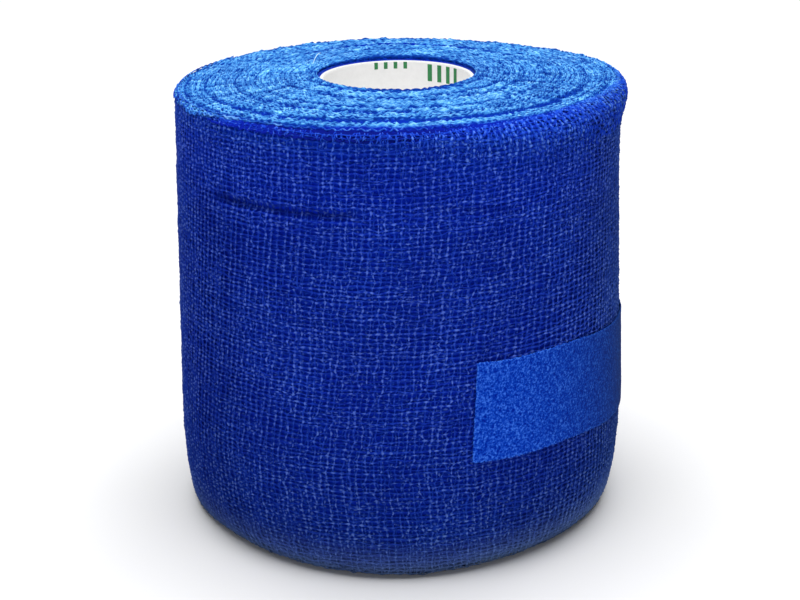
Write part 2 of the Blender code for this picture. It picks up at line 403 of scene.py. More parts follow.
def azure_at(azimuth, way):
    """Painted light: how far the wall near the rim is painted in the end faces' lighter colour, half being
    royal blue and all of it azure.
    """
    below = skin_length(azimuth) - way
    shoulder = near(azimuth, SHOULDER)
    light = ease(1 - below / part_way(AZURE_REACH, shoulder)) * turned_at(azimuth, RIM_AZIMUTHS, RIM_LIGHT)
    royal = part_way(ROYAL_SHARE, shoulder) * ease(1 - below / part_way(ROYAL_REACH, shoulder))
    return np.maximum(light, royal)


def greying_and_shading(azimuth, height):
    """How much the wall is greyed: painted shade on its flanks, greyer and lighter all round the foot and
    more so on the right.
    """
    foot = step_over(height, FOOT_GREYING_HEIGHTS) * step_over(around(azimuth), FOOT_GREYING_AZIMUTHS)
    share = turned_at(azimuth, FLANK_SHADE_AZIMUTHS, FLANK_SHADE_SHARES)
    share = share * part_way((FLANK_SHADE_AT_FOOT, 1.0), step_over(height, FLANK_SHADE_HEIGHTS))
    return np.minimum(share + FOOT_GREYING * foot + np.interp(height, HAZE_HEIGHTS, HAZE_SHARES), GREYING_MOST)


def shading(azimuth, height):
    """Painted shade: how dark the wall is painted in its creases and on the left side."""
    left = step_over(around(azimuth), LEFT_AZIMUTHS) * step_over(height, LEFT_HEIGHTS)
    return np.clip(crease_depth(azimuth, height) * CREASE_SHADE, 0, CREASE_DARKEST) + LEFT_SHADE * left


def royal_band(azimuth, radius):
    """Painted shade: where the outermost turns of the top face are a darker royal blue."""
    return ease((radius - turned_at(azimuth, BAND_AZIMUTHS, BAND_RADII)) / BAND_EDGE)


def end_rise(share):
    """How much higher than the outer turns those at a share of the way from hole to rim stand."""
    return TELESCOPE * (1 - part_way((share, ease(share)), END_CURVE))


def foot_level(share):
    return np.clip(end_rise(share / FOOT_FLAT_SHARE), 0, None)


def cylinder(azimuth, radius, height):
    """Points from azimuth, radius and height."""
    turn = np.radians(azimuth)
    x = AXIS_X + radius * np.sin(turn)
    y = AXIS_Y - radius * np.cos(turn)
    return np.stack(np.broadcast_arrays(x, y, height), axis=-1)


def frame_at(azimuth, out_r, out_z):
    """Unit vectors: round the roll, outwards, and up along the skin."""
    turn = np.radians(azimuth)
    zero = np.zeros_like(turn)
    radial = np.stack([np.sin(turn), -np.cos(turn), zero], axis=-1)
    round_way = np.stack([np.cos(turn), np.sin(turn), zero], axis=-1)
    up = np.array((0.0, 0.0, 1.0))
    out_r, out_z = (np.broadcast_to(x, turn.shape)[..., None] for x in (out_r, out_z))
    return round_way, radial * out_r + up * out_z, up * out_r - radial * out_z


def put(name, data):
    """New object in the scene."""
    thing = bpy.data.objects.new(name, data)
    scene.collection.objects.link(thing)
    return thing


def solid_mesh(name, points, quads, material, **shades):
    points = np.ascontiguousarray(points.reshape(-1, 3) * MM, dtype=np.float32)
    quads = np.ascontiguousarray(quads.reshape(-1, 4), dtype=np.int32)
    mesh = bpy.data.meshes.new(name)
    mesh.vertices.add(len(points))
    mesh.vertices.foreach_set("co", points.ravel())
    mesh.loops.add(quads.size)
    mesh.loops.foreach_set("vertex_index", quads.ravel())
    mesh.polygons.add(len(quads))
    mesh.polygons.foreach_set("loop_start", np.arange(len(quads), dtype=np.int32) * 4)
    mesh.update(calc_edges=True)
    mesh.shade_smooth()
    for key, values in shades.items():
        layer = mesh.attributes.new(key, "FLOAT", "POINT")
        layer.data.foreach_set("value", np.ascontiguousarray(values.ravel(), dtype=np.float32))
    mesh.materials.append(material)
    piece = put(name, mesh)
    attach(piece, "root")
    return piece


def threads(name, material, centre, across, out, size, tone, edge_shade, closed=False, flip=True, **shades):
    """Raised threads, each sample with a left edge, a crest and a right edge. Their size is half width, rise
    of the crest and drop of the edges, whose tone is lower by their painted shade."""
    half, high, low = (np.broadcast_to(x, centre.shape[:2])[..., None] for x in size)
    left = centre - across * half - out * low
    right = centre + across * half - out * low
    points = np.stack([left, centre + out * high, right], axis=2)
    index = np.arange(points.size // 3).reshape(points.shape[:3])
    here = index if closed else index[:, :-1]
    there = np.roll(index, -1, axis=1) if closed else index[:, 1:]
    quads = []
    for side in (0, 1):
        quad = [here[..., side], there[..., side], there[..., side + 1], here[..., side + 1]]
        if flip:
            quad.reverse()
        quads.append(np.stack(quad, axis=-1).reshape(-1, 4))
    tone = np.stack([tone - edge_shade, tone, tone - edge_shade], axis=-1)
    shades = {key: np.stack([value] * 3, axis=-1) for key, value in shades.items()}
    piece = solid_mesh(name, points, np.concatenate(quads), material, tone=tone, **shades)


def ring_quads(loops, segments):
    """Faces between closed loops of points, and from the last loop to the first."""
    index = np.arange(loops * segments).reshape(loops, segments)
    after = np.roll(index, -1, axis=0)
    return np.stack([index, after, np.roll(after, -1, axis=1), np.roll(index, -1, axis=1)], axis=-1)


# ---- materials


class Shader:
    """A material's nodes, built up one by one."""

    def __init__(self, name, roughness, specular):
        self.material = bpy.data.materials.new(name)
        self.material.use_nodes = True
        self.nodes = self.material.node_tree.nodes
        self.links = self.material.node_tree.links
        self.main = self.nodes["Principled BSDF"]
        self.main.inputs["Roughness"].default_value = roughness
        self.main.inputs["Specular IOR Level"].default_value = specular

    def add(self, kind, **settings):
        node = self.nodes.new("ShaderNode" + kind)
        for key, value in settings.items():
            if key in node.inputs:
                node.inputs[key].default_value = value
            else:
                setattr(node, key, value)
        return node

    def place(self):
        return self.add("TexCoord").outputs["Object"]

    def noise(self, scale, detail, roughness):
        node = self.add("TexNoise", Scale=scale, Detail=detail, Roughness=roughness)
        self.links.new(self.place(), node.inputs["Vector"])
        return node.outputs["Fac"]

    def ramp(self, value, stops):
        node = self.add("ValToRGB")
        elements = node.color_ramp.elements
        while len(elements) < len(stops):
            elements.new(0.5)
        for element, (at, colour) in zip(elements, stops):
            element.position = at
            element.color = (*colour, 1.0)
        self.links.new(value, node.inputs["Fac"])
        return node.outputs["Color"]

    def fill(self, socket, value):
        if isinstance(value, (int, float)):
            socket.default_value = value
        elif isinstance(value, tuple):
            socket.default_value = (*value, 1.0)
        else:
            self.links.new(value, socket)

    def math(self, operation, a, b=0.0):
        node = self.add("Math", operation=operation)
        self.fill(node.inputs[0], a)
        self.fill(node.inputs[1], b)
        return node.outputs["Value"]

    def mix(self, factor, a, b, blend="MIX"):
        node = self.add("Mix", data_type="RGBA", blend_type=blend)
        for at, value in ((0, factor), (6, a), (7, b)):
            self.fill(node.inputs[at], value)
        return node.outputs[2]

    def attribute(self, name):
        return self.add("Attribute", attribute_name=name).outputs["Fac"]

    def by_height(self, stops):
        """Colour ramp over the height, where 1 stands for 100 mm."""
        split = self.add("SeparateXYZ")
        self.links.new(self.place(), split.inputs[0])
        return self.ramp(self.math("MULTIPLY", split.outputs["Z"], 10.0), stops)

    def greyed_and_shaded(self, colour):
        """Colour of the cloth with its greying and the painted shade on its flanks, its painted shade in
        creases, on the left and on the sunk rim, and its painted shade and light over the height.
        """
        colour = self.mix(self.attribute("greying_and_shade"), colour, self.by_height(GREYING_AND_SHADE_COLOURS))
        colour = self.mix(self.attribute("crease"), colour, PAINTED_SHADE_COLOUR)
        return self.mix(1.0, colour, self.by_height(HEIGHT_SHADE), "MULTIPLY")

    def colour(self, value):
        self.links.new(value, self.main.inputs["Base Color"])

    def bump(self, height, strength, distance_mm):
        node = self.add("Bump", Strength=strength, Distance=distance_mm * MM)
        self.links.new(height, node.inputs["Height"])
        self.links.new(node.outputs["Normal"], self.main.inputs["Normal"])


def grained_material(name, roughness, specular, noise, stops, bump=None, cut_colour=None):
    """Plain material: its grain leads from one colour to another."""
    shader = Shader(name, roughness, specular)
    grain = shader.noise(*noise)
    colour = shader.ramp(grain, stops)
    if cut_colour:
        colour = shader.mix(shader.attribute("cut"), colour, cut_colour)
    shader.colour(colour)
    if bump:
        shader.bump(grain, *bump)
    return shader.material


def thread_material(name, wall_stops, patch, patch_scale=60.0):
    """Dyed thread: dark to bright with its tone and painted highlights; navy, with royal blue or azure where
    light is painted.
    """
    shader = Shader(name, 0.9, 0.05)
    fibres = shader.noise(5200.0, 3.0, 0.6)
    speck = shader.math("MULTIPLY", shader.math("SUBTRACT", fibres, 0.5), 0.6)
    # "beat" is whole at each crossing of threads, where a thread gets a painted highlight.
    wave = shader.math("COSINE", shader.math("MULTIPLY", shader.attribute("beat"), math.tau))
    dot = shader.math("MULTIPLY", shader.math("ADD", wave, 1.0), 0.5)
    dot = shader.math("POWER", dot, shader.attribute("sharp"))
    value = shader.math("ADD", shader.attribute("tone"), speck)
    value = shader.math("ADD", value, shader.math("MULTIPLY", dot, shader.attribute("gleam")))
    # A mix holds its factor between 0 and 1.
    to_royal = shader.math("MULTIPLY", shader.attribute("azure"), 2.0)
    to_azure = shader.math("SUBTRACT", to_royal, 1.0)
    colour = shader.mix(to_royal, shader.ramp(value, wall_stops), shader.ramp(value, ROYAL_STOPS))
    colour = shader.mix(to_azure, colour, shader.ramp(value, TOP_STOPS))
    colour = shader.greyed_and_shaded(colour)
    colour = shader.mix(shader.by_height(FOOT_CONTACT_SHADOW), colour, FOOT_SHADOW_COLOUR)
    cloud = shader.noise(patch_scale, 2.0, 0.5)
    shade = shader.ramp(cloud, ((0.3, (1 - patch, 1 - patch, 1 - 0.6 * patch)), (0.7, (1.0, 1.0, 1.0))))
    shader.colour(shader.mix(1.0, colour, shade, "MULTIPLY"))
    shader.bump(fibres, 0.5, 0.05)
    return shader.material


# Thread colours from dark to bright: navy on the wall and the turn below; royal blue and azure are painted
# light.
WALL_STOPS = ((0.0, (0.0003, 0.008, 0.32)), (0.5, (0.009, 0.047, 0.47)), (1.0, (0.088, 0.172, 0.68)))
DEEP_STOPS = ((0.0, (0.0003, 0.008, 0.30)), (0.5, (0.006, 0.041, 0.44)), (1.0, (0.060, 0.125, 0.60)))
ROYAL_STOPS = ((0.0, (0.0003, 0.014, 0.36)), (0.5, (0.012, 0.080, 0.56)), (1.0, (0.120, 0.290, 0.80)))
TOP_STOPS = ((0.0, (0.0003, 0.034, 0.26)), (0.5, (0.044, 0.240, 0.56)), (1.0, (0.250, 0.620, 0.88)))
# Greying colours by height: a lighter grey-blue at the foot, and higher up a dark painted shade.
GREYING_AND_SHADE_COLOURS = ((0.05, (0.13, 0.22, 0.40)), (0.15, (0.026, 0.062, 0.050)))
# Painted shade colour on the strip's right side.
STRIP_SHADE_COLOUR = (0.007, 0.024, 0.032)
# Colour of the painted shade in creases, on the left, on the sunk rim and in the royal band.
PAINTED_SHADE_COLOUR = (0.0004, 0.004, 0.09)
# Painted shade and light over the height: darker towards the foot, a little lighter and bluer under the rim.
HEIGHT_SHADE = (
    (0.05, (1.0, 0.96, 0.83)),
    (0.1, (0.98, 0.96, 0.77)),
    (0.2, (0.9, 0.9, 0.8)),
    (0.3, (0.91, 0.92, 0.86)),
    (0.44, (0.98, 0.98, 0.96)),
    (0.6, (0.98, 0.96, 0.95)),
    (0.76, (1.0, 0.99, 0.99)),
    (0.86, (1.0, 1.03, 1.12)),
    (0.93, (1.0, 1.02, 1.09)),
    (1.0, (1.0, 0.99, 1.04)),
)
# Painted contact shadow along the very foot: how much at each height, and its colour.
FOOT_CONTACT_SHADOW = ((0.006, (0.55, 0.55, 0.55)), (0.028, (0.0, 0.0, 0.0)))
FOOT_SHADOW_COLOUR = (0.045, 0.070, 0.075)

wall_thread = thread_material("gauze_thread", WALL_STOPS, 0.28)
# The turn below is painted darker: painted shade under the outer threads.
deep_thread = thread_material("gauze_thread_below", DEEP_STOPS, 0.25)
end_thread = thread_material("turn_edge_thread", WALL_STOPS, 0.3, 90.0)


def body_material():
    """Wound cloth behind the open gauze: navy on the wall, royal blue under the rim and on the ends, where
    light is painted.
    """
    shader = Shader("wound_cloth", 0.95, 0.05)
    blotch = shader.noise(900.0, 3.0, 0.6)
    wall_colour = shader.ramp(blotch, ((0.3, (0.0004, 0.012, 0.40)), (0.7, (0.003, 0.028, 0.52))))
    end_colour = shader.ramp(blotch, ((0.3, (0.0004, 0.040, 0.56)), (0.7, (0.0020, 0.085, 0.72))))
    colour = shader.mix(shader.attribute("azure"), wall_colour, end_colour)
    shader.colour(shader.greyed_and_shaded(colour))
    shader.bump(shader.noise(1500.0, 2.0, 0.6), 0.6, 0.2)
    return shader.material


# ---- gauze on the wall


def weave_nodes(seed, phase):
    """Azimuth and way up the skin of each crossing, with the cloth's own unevenness."""
    rng = np.random.default_rng(seed)
    weft = np.arange(WEFTS)[:, None]
    warp = np.arange(WARPS)[None, :]
    u = (weft + phase) / WEFTS + np.zeros_like(warp)
    v = np.interp((warp + 0.5) / WARPS, WARP_SHARES, np.array(WARP_HEIGHTS) / WIDTH) + np.zeros_like(weft)
    drift = 0.36 * soft_field(seed + 1, 22, 9)(u, v) + 0.18 * soft_field(seed + 2, 70, 30)(u, v)
    sag = 0.18 * soft_field(seed + 3, 18, 14)(u, v) + 0.12 * soft_field(seed + 4, 60, 40)(u, v)
    stray_sideways, stray_up, stray_thread = STRAY
    sideways = np.interp(v * WIDTH, LEAN_HEIGHTS, LEAN_SHIFTS) + drift
    sideways = sideways + rng.normal(0, stray_sideways, u.shape) + rng.normal(0, stray_thread, (WEFTS, 1))
    azimuth = 360 * u + np.degrees(sideways / RADIUS)
    total = skin_length(azimuth)
    way = 0.4 + v * (total - 0.7) + sag
    way = way + rng.normal(0, stray_up, u.shape) + rng.normal(0, stray_thread, (1, WARPS))
    return azimuth, np.clip(way, 0.25, total - 0.1), u, v


def between(values, dip, wrap=None):
    """Puts a middle value between neighbours along each thread, lower by the dip. A closed thread's last
    value is followed by its first, greater by the wrap."""
    if wrap is None:
        out = np.empty((len(values), 2 * values.shape[1] - 1))
        out[:, 0::2] = values
        out[:, 1::2] = 0.5 * (values[:, :-1] + values[:, 1:]) - dip
        return out
    after = np.roll(values, -1, axis=1)
    after[:, -1] += wrap
    return np.stack([values, 0.5 * (values + after) - dip], axis=2).reshape(len(values), -1)


def gauze_threads(name, kind, line, half_width, depth, swell, material):
    """Mesh of one kind of thread, from the values along each thread."""
    azimuth, way = line["azimuth"], line["way"]
    below = skin_length(azimuth) - way
    radius, height, out_r, out_z = skin(azimuth, way)
    round_way, out, along = frame_at(azimuth, out_r, out_z)
    centre = cylinder(azimuth, radius, height) + out * (line["lift"] - depth)[..., None]
    bunched = near(azimuth, SHOULDER) * ease(1 - below / SHOULDER_DOWN)
    half = half_width * (1 + SWELL * swell(azimuth / 360, way / WIDTH)) * (1 + SHOULDER_SWELL * bunched)
    weft = kind == "weft"
    across = round_way if weft else along
    azure = azure_at(azimuth, way)
    thread = THREADS[kind]
    tone = line["tone"] + thread["azure"] * azure + thread["bunch"] * bunched
    shades = {
        "azure": azure,
        "greying_and_shade": greying_and_shading(azimuth, way),
        "crease": shading(azimuth, way),
        "sharp": np.full(azure.shape, thread["dots"][0]),
        "beat": line["beat"],
        "gleam": line["gleam"] * (1 - GLEAM_SUNK * ease(1 - below / GLEAM_SUNK_DOWN) * near(azimuth, SUNK)),
    }
    size = (half, THREAD_RISE, THREAD_DROP)
    threads(name, material, centre, across, out, size, tone, THREAD_EDGE, not weft, weft, **shades)


def gauze_layer(name, seed, phase, depth, material, brightness, fine):
    """Two joined meshes: the wefts and the warps of one turn of gauze."""
    rng = np.random.default_rng(seed + 50)
    azimuth, way, u, v = weave_nodes(seed, phase)
    over_weft = 1.0 - 2.0 * ((np.arange(WEFTS)[:, None] + np.arange(WARPS)[None, :]) % 2)
    loose = 0.08 * soft_field(seed + 7, 80, 40)(u, v) + 0.05 * rng.normal(0, 1, u.shape)
    shade = 0.03 * soft_field(seed + 5, 26, 12)(u, v) + 0.05 * soft_field(seed + 6, 110, 55)(u, v)
    for kind, thread in THREADS.items():
        weft = kind == "weft"
        over = over_weft if weft else -over_weft
        bright = rng.random(u.shape) ** 1.5
        bright = part_way((bright, np.roll(bright, 1, axis=1 if weft else 0)), GLEAM_SHARED)
        line = {
            "azimuth": azimuth,
            "way": way,
            "lift": CRIMP * over + loose,
            "tone": brightness + shade,
            "gleam": thread["dots"][1] * (np.where(over > 0, *GLEAM) + GLEAM_CHANCE * bright),
        }
        if not weft:
            line = {key: value.T for key, value in line.items()}
        count, samples = line["tone"].shape
        line["tone"] = line["tone"] + rng.normal(*thread["tone"], (count, 1))
        half, varies = thread["half"]
        half_width = half * rng.normal(1.0, varies, (count, 1))
        line["beat"] = np.arange(samples) + np.zeros((count, samples))
        if fine:
            for key, value in line.items():
                wrap = None if weft else {"azimuth": 360, "beat": samples}.get(key, 0)
                line[key] = between(value, DIP if key == "lift" else 0.0, wrap)
        swell = soft_field(seed + 8 + count, 90, 40)
        gauze_threads(f"{name}_{kind}s", kind, line, half_width, depth, swell, material)


# ---- turns on the end faces


wavy = grain_field(61, 1.7)
tufts = grain_field(62, 1.25)
grains = grain_field(63, 0.55)
# Radius of each group of turns, which sets how many loops a turn of it has.
GROUP_RADII = np.array([HOLE, *np.mean(GROOVE_RADII, axis=1)]) + 1.5


def row_relief(radius, azimuth):
    """(depth of the grooves between the groups of turns on the top face, number of the group)."""
    radius = radius + GROOVE_WAVER * wavy(azimuth, radius)
    depth = np.zeros(np.broadcast(radius, azimuth).shape)
    group = np.zeros(depth.shape, dtype=int)
    for row in zip(GROOVE_RADII, GROOVE_DEPTHS, GROOVE_HALVES):
        groove, deep, half = (turned_at(azimuth, GROOVE_AZIMUTHS, values) for values in row)
        shift = (GROOVE_SHIFT + GROOVE_SHIFT_SHARE * deep) * np.cos(np.radians(azimuth))
        offset = radius - groove + shift
        depth = depth + deep * hump(offset, half)
        group = group + (offset > 0)
    return depth, group


def spiral_samples(step):
    """(turn number, azimuth, share of the way from hole to rim) along the wound cloth's edge."""
    turns = (RADIUS - HOLE) / TURN
    length = math.tau * (HOLE * turns + TURN * turns * turns / 2)
    way = np.linspace(0, length, int(length / step))
    turn = (-HOLE + np.sqrt(HOLE * HOLE + TURN * way / math.pi)) / TURN
    return turn, (LOOSE_END - 360 * (turns - turn)) % 360, turn / turns


def top_radius(azimuth, share):
    """Radius on the top face at a share of the way from the hole to where the rim's rounding takes over."""
    outer = wall(azimuth, rim_start(azimuth)) - np.maximum(TOP_SHORT, rim_round(azimuth) - TOP_OVER)
    return HOLE + TOP_START + (outer - HOLE) * share


def top_level(azimuth, radius, share):
    """(height of the top face with its grooves and the fall over the rim, share of the sunk rim in it)."""
    outer, rounding = wall(azimuth, rim_start(azimuth)), rim_round(azimuth)
    height = WIDTH + end_rise(share) + FLARE_RISE * near(azimuth, FLARE) * share
    height = height + BACK_RISE * near(azimuth, BACK) * ease(share * 1.4)
    height = height - GROOVE_DEPTH * row_relief(radius, azimuth)[0] * pulse(azimuth / 360)
    into_rim = np.clip(radius - (outer - rounding), 0, rounding)
    sunk = near(azimuth, SUNK) * ease((radius - outer + SUNK_WIDTH) / SUNK_EDGE)
    lower = SUNK_DEPTH * sunk + BAND_DEPTH * royal_band(azimuth, radius) * near(azimuth, LOW_BAND)
    return height - (rounding - np.sqrt(rounding**2 - into_rim**2)) - lower, sunk


def top_turns(name, material):
    """The wound cloth's upper edge: one long thread of loops from the tube to the rim."""
    rng = np.random.default_rng(71)
    turn, azimuth, share = spiral_samples(TOP_STEP)
    radius = top_radius(azimuth, share)
    height, sunk = top_level(azimuth, radius, share)
    # Each turn stands a little higher or lower than the next.
    whole = np.floor(turn).astype(int)
    turns = whole.max() + 2
    per_turn = rng.normal(0, 0.08, turns)
    height = height - 0.15 + part_way((per_turn[whole], per_turn[whole + 1]), ease(turn - whole))
    height = height + 0.05 * soft_field(72, 26, 30)(azimuth / 360, share)
    height = height + (0.04 * tufts(azimuth, radius) + 0.12 * grains(azimuth, radius)) * ease(share / 0.05)
    relief, group = row_relief(radius, azimuth)
    # Loops: their place along the turn, their number and how far along its loop a sample is.
    slip = np.interp(turn, np.arange(turns), np.cumsum(rng.normal(0, 0.06, turns)))
    loops = np.round(math.tau * GROUP_RADII / LOOP).astype(int)[group]
    place = azimuth / 360 * loops + slip + 0.5 * soft_field(74, 60, 14)(azimuth / 360, share) + loops
    number = np.floor(place).astype(int)
    phase = place - number
    number = number % loops
    arch = np.sin(math.pi * phase) ** 0.8
    inner_edge = ease(share / 0.03)
    sizes = (len(GROUP_RADII), loops.max() + 1)
    loop_height = rng.normal(0, 0.12, sizes)[group, number] * inner_edge
    loop_tone = rng.normal(0, 0.09, sizes)[group, number]
    height = height + arch * (0.25 + loop_height) - 0.20 + rng.normal(0, 0.06, turn.shape) * inner_edge
    height = height - 0.2 * relief * (1 - arch)
    sway = 0.14 * np.sin(math.tau * phase + 1.3) + rng.normal(0, 0.07, turn.shape)
    radius = radius + sway * inner_edge
    # Tone, much of it painted shade: dark ticks between loops in rows, darker grooves, a darker ring at the
    # hole, a little darker away from the front, and the darker royal band and sunk rim; loop crests get a
    # little painted light.
    ring = np.floor(turn / TICK_TURNS).astype(int)
    ring_place = place + np.cumsum(rng.uniform(0.3, 0.7, ring.max() + 1))[ring]
    tick = hump(turn % TICK_TURNS - TICK_TURNS / 2, 1.2) * pulse(ring_place) ** 1.3
    royal = royal_band(azimuth, radius)
    rough = loop_tone + rng.normal(0, 0.12, turn.shape)
    rough = rough + 0.03 * tufts(azimuth, radius) + 0.30 * grains(azimuth, radius)
    contrast = near(azimuth, CONTRAST)
    facing = np.cos(np.radians(azimuth))
    hole_edge = facing * facing * (0.35 * hump(share, 0.03) + 0.25 * hump(share, 0.10))
    tone = 0.68 + 0.06 * arch - (0.75 + 0.18 * contrast) * tick + rough * (1 - 0.6 * royal)
    tone = tone - relief * (1 + 0.6 * contrast) * (0.30 + 1.05 * pulse(phase)) - 0.05 * (1 - facing)
    tone = tone - 0.33 * royal - 0.34 * sunk - hole_edge
    half = 0.15 + 0.04 * rng.uniform(-1, 1, turn.shape)
    _, out, along = frame_at(azimuth, 0.0, 1.0)
    centre = cylinder(azimuth, radius, height)[None]
    size = (half, 0.08, 0.42)
    # Less painted light, and more painted shade, in the royal band, on the sunk rim and in deep grooves.
    azure = 1 - 0.56 * royal - 0.30 * sunk - 0.34 * np.clip(relief - 0.4, 0, 1) * (1 - royal)
    crease = np.maximum(0.75 * sunk, 0.25 * royal)
    threads(name, material, centre, -along[None], out[None], size, tone, 0.75, azure=azure, crease=crease)


def rim_line(name, material):
    """Two thin, light and wavy strands of the outer turn's edge, on the rim or, at the front, inside it."""
    rng = np.random.default_rng(76)
    per_wave = 12
    span = LINE_AZIMUTHS[-1] - LINE_AZIMUTHS[0]
    count = int(math.radians(span) * LINE_RADII[0] / LINE_PITCH)
    place = np.arange(count * per_wave) / per_wave
    number = place.astype(int)
    centres = []
    tones = []
    for strand in range(2):
        azimuth = LINE_AZIMUTHS[0] + span * (place + 0.5 * strand) / (count + 1)
        azimuth = azimuth + 0.5 * soft_field(77 + strand, 40, 2)(place / count, 0.0)
        hang = 1 - pulse(place - number)
        wave = np.interp(azimuth, LINE_AZIMUTHS, LINE_WAVES) * (1 + 0.35 * rng.normal(0, 1, count))[number]
        radius = np.interp(azimuth, LINE_AZIMUTHS, LINE_RADII) + (hang - 0.5) * wave - LINE_APART * strand
        radius = radius + 0.25 * soft_field(87 + strand, 25, 2)(place / count, 0.0)
        outer = wall(azimuth, rim_start(azimuth))
        inside = np.minimum(radius, outer - 0.02)
        height = top_level(azimuth, inside, np.clip((inside - HOLE) / (outer - HOLE), 0, 1))[0]
        front = step_over(azimuth, LINE_FRONT)
        rise = 0.30 - strand * (0.1 + 0.6 * front) - (0.10 + 0.30 * front) * hang
        rise = rise - np.clip(radius - outer, 0, None)
        centres.append(cylinder(azimuth, np.minimum(radius, outer + 0.15), height + rise))
        own = 0.22 * rng.normal(0, 1, count)[number] + 0.10 * rng.normal(0, 1, place.shape)
        # Painted shade on the inner strand and at the front.
        tones.append(0.46 - 0.08 * strand - 0.12 * front + own)
    centre = np.stack(centres)
    tone = np.stack(tones)
    out = np.broadcast_to(frame_at(azimuth, 0.6, 0.8)[1], centre.shape)
    across = np.cross(out, np.gradient(centre, axis=1))
    across = across / np.linalg.norm(across, axis=-1, keepdims=True)
    # Less painted light at the front.
    azure = np.broadcast_to(0.75 - 0.17 * front, tone.shape)
    threads(name, material, centre, across, out, (0.19, 0.12, 0.1), tone, 0.25, flip=False, azure=azure)


def shoulder_dashes(name, material):
    """Short raised pieces of thread over the rim and the shoulder, where the gauze is bunched."""
    rng = np.random.default_rng(101)
    beside = rng.normal(SHOULDER[0], DASH_SPREAD, DASHES)
    azimuth = np.where(rng.random(DASHES) < DASHES_NEAR, beside, rng.uniform(0, 360, DASHES))
    below = rng.random(DASHES) ** 1.3 * part_way(DASH_REACH, hump(around(azimuth, SHOULDER[0]), 80.0))
    tilt = rng.normal(0, 0.32, DASHES)[:, None]
    steps = np.array([[-1.0, 0.0, 1.0]]) * rng.uniform(0.30, 0.60, DASHES)[:, None]
    way = (skin_length(azimuth) - below)[:, None] + steps * np.cos(tilt)
    turned = azimuth[:, None] + np.degrees(steps * np.sin(tilt) / RADIUS)
    way = np.minimum(way, skin_length(turned))
    radius, height, out_r, out_z = skin(turned, way)
    round_way, out, along = frame_at(turned, out_r, out_z)
    at_end = np.array([[1.0, 0.0, 1.0]])
    lift = 0.10 - 0.14 * at_end + rng.uniform(-0.05, 0.08, DASHES)[:, None]
    centre = cylinder(turned, radius, height) + out * (lift - LAYER_SINK + 0.12)[..., None]
    across = round_way * np.cos(tilt)[..., None] - along * np.sin(tilt)[..., None]
    # Painted shade on the ends, where they dip in.
    tone = 0.36 + 0.5 * rng.random(DASHES)[:, None] ** 1.5 - 0.2 * at_end
    azure = azure_at(turned, way)
    threads(name, material, centre, across, out, (0.13, 0.10, 0.12), tone, 0.25, azure=azure)


def foot_turns(name, material):
    """The wound cloth's lower edge, level in its outer turns."""
    rng = np.random.default_rng(81)
    turn, azimuth, share = spiral_samples(FOOT_STEP)
    outer = wall(azimuth, np.zeros_like(azimuth))
    radius = HOLE + 0.15 + (outer - 0.3 - HOLE) * share
    height = foot_level(share) + 0.35 * (0.5 + 0.5 * soft_field(82, 60, 94)(azimuth / 360, share))
    height = height + np.abs(rng.normal(0, 0.12, turn.shape)) + 0.12
    _, out, along = frame_at(azimuth, 0.0, -1.0)
    centre = cylinder(azimuth, radius, height)[None]
    tone = 0.45 + rng.normal(0, 0.14, turn.shape)
    azure = np.full(tone.shape, 0.6)
    threads(name, material, centre, along[None], out[None], (0.16, 0.10, 0.4), tone, 0.5, azure=azure)


# ---- wound body under the threads


def wound_body(name, material):
    """Closed ring of the wound form, a little inside the threads."""
    segments = 320
    azimuth = np.arange(segments) * 360.0 / segments
    # Loops from the hole over the top face, down the wall and under the foot: radius, height, azure, the
    # share of painted light.
    loops = [(HOLE, height, 0.1) for height in (3.2, 30.0, 60.0, 90.0, WIDTH + 1.2)]
    for share in np.linspace(0.02, 0.96, 64):
        radius = top_radius(azimuth, share)
        level = top_level(azimuth, radius, share)[0]
        loops.append((radius, level - BODY_BELOW, 1 - 0.5 * royal_band(azimuth, radius)))
    total = skin_length(azimuth)
    wall_shares = (np.linspace(0.995, 0.93, 8), np.linspace(0.92, 0.08, 60), np.linspace(0.07, 0.004, 9))
    for share in np.concatenate(wall_shares):
        radius, height, out_r, out_z = skin(azimuth, total * share)
        # Painted light on the body under the rim, reaching farther down at the shoulder.
        royal = near(azimuth, SHOULDER) * ease(1 - total * (1 - share) / BODY_ROYAL_REACH)
        azure = np.maximum(azure_at(azimuth, total * share), royal)
        loops.append((radius - BODY_INWARD * out_r, height - BODY_INWARD * out_z, azure))
    foot = wall(azimuth, 0.0)
    for share in np.linspace(0.96, 0.02, 20):
        loops.append((HOLE + (foot - HOLE - 1.0) * share, foot_level(share) + BODY_ABOVE, 0.6))
    radii, heights, azure = (np.stack([np.broadcast_to(x, segments) for x in row]) for row in zip(*loops))
    shaded = azure < 0.9
    shades = {"greying_and_shade": greying_and_shading(azimuth, heights) * shaded, "crease": shading(azimuth, heights) * shaded}
    points = cylinder(azimuth, radii, heights)
    piece = solid_mesh(name, points, ring_quads(len(loops), segments), material, azure=azure, **shades)
    return piece


# ---- core and its marks


def paper_core(name, material):
    segments = 160
    azimuth = np.arange(segments) * 360.0 / segments
    outer = HOLE - 0.3
    inner = outer - 1.0
    low = 1000 * core_low.z
    high = 1000 * core_high.z
    lip = ((inner, 0.3), (inner + 0.12, 0.06), (inner + 0.4, 0.0), (outer - 0.2, 0.0), (outer, 0.2))
    profile = [(r, low + h) for r, h in lip] + [(outer, 0.5 * (low + high))]
    profile += [(r, high - h) for r, h in reversed(lip)] + [(inner, 0.66 * high), (inner, 0.33 * high)]
    radii, heights = (np.repeat(np.array(x)[:, None], segments, axis=1) for x in zip(*profile))
    points = cylinder(azimuth, radii, heights)
    quads = ring_quads(len(profile), segments)[..., [0, 3, 2, 1]]
    piece = solid_mesh(name, points, quads, material, cut=heights > high - 0.25)
    return piece


